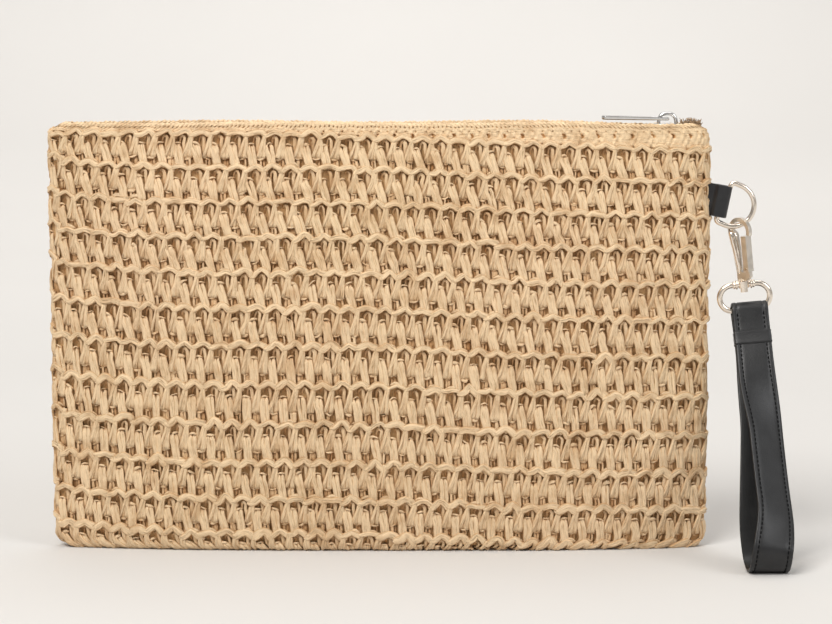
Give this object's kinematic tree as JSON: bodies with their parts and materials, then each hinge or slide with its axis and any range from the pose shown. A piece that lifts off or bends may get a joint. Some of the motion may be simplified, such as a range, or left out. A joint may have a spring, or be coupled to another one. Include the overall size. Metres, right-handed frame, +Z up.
{
  "type": "clutch purse",
  "caption": "Flat crocheted straw clutch with a zipped mouth and a clip-on leather wrist strap on a side ring.",
  "frame": {"origin": "middle of the flat base that the purse stands on", "axes": "+X along the purse towards the strap, +Y to the back, +Z up"},
  "size_m": [0.3278, 0.0795, 0.1993],
  "materials": {
    "straw": "matt twisted paper straw, crocheted",
    "lining": "plain woven cotton",
    "zip_tape": "herringbone woven tape",
    "zip_teeth": "dull antique brass",
    "slider_metal": "polished nickel plate",
    "gold_metal": "polished pale gold plate",
    "leather": "black semi-gloss coated leather",
    "backing": "black matt backing",
    "spring_steel": "plain spring steel"
  },
  "bodies": {
    "purse": {"straw_front": "straw", "straw_back": "straw", "lining_front": "lining", "lining_back": "lining", "zip_tape_front": "zip_tape", "zip_tape_back": "zip_tape", "zip_teeth_front": "zip_teeth", "zip_teeth_back": "zip_teeth", "zip_top_stops": "zip_teeth", "zip_bottom_stop": "zip_teeth", "ring_tab": "leather"},
    "slider": {"slider_body": "slider_metal", "slider_bridge": "slider_metal"},
    "pull": {"zip_pull": "slider_metal"},
    "ring": {"d_ring": "gold_metal"},
    "hook": {"hook_body": "gold_metal", "gate_pin": "gold_metal", "gate_spring": "spring_steel", "swivel_rivet": "gold_metal"},
    "gate": {"hook_gate": "gold_metal"},
    "swivel": {"strap_ring": "gold_metal"},
    "strap": {"strap_outer": "leather", "strap_backing": "backing", "strap_keeper": "leather"}
  },
  "joints": [
    {"name": "slider_slide", "type": "slide", "parent": "purse", "child": "slider", "axis": [-1, 0, 0], "range_m": [0, 0.254]},
    {"name": "pull_swing", "type": "hinge", "parent": "slider", "child": "pull", "pos_m": [0.1289, 0, 0.1961], "axis": [0, 1, 0], "range_deg": [0, 165]},
    {"name": "d_ring_swing", "type": "hinge", "parent": "purse", "child": "ring", "pos_m": [0.15501, 0, 0.15867], "axis": [0.3907, 0, 0.9205], "range_deg": [-30, 85]},
    {"name": "hook_swing", "type": "hinge", "parent": "ring", "child": "hook", "pos_m": [0.16171, 0, 0.14772], "axis": [0.9613, 0, 0.2756], "range_deg": [-45, 45]},
    {"name": "gate_press", "type": "hinge", "parent": "hook", "child": "gate", "pos_m": [0.16625, -0.00299, 0.12849], "axis": [-0.7618, -0.6428, -0.0801], "range_deg": [0, 12], "stiffness_Nm_per_rad": 0.02, "springref_deg": -17.19, "deforming": ["gate_spring"]},
    {"name": "ring_swivel", "type": "hinge", "parent": "hook", "child": "swivel", "pos_m": [0.16436, 0, 0.12246], "axis": [-0.1045, 0, 0.9945], "range_deg": [-15, 220]},
    {"name": "strap_swing", "type": "hinge", "parent": "swivel", "child": "strap", "pos_m": [0.16574, 0, 0.10938], "axis": [0.9945, 0, 0.1045], "range_deg": [-60, 88]}
  ]
}
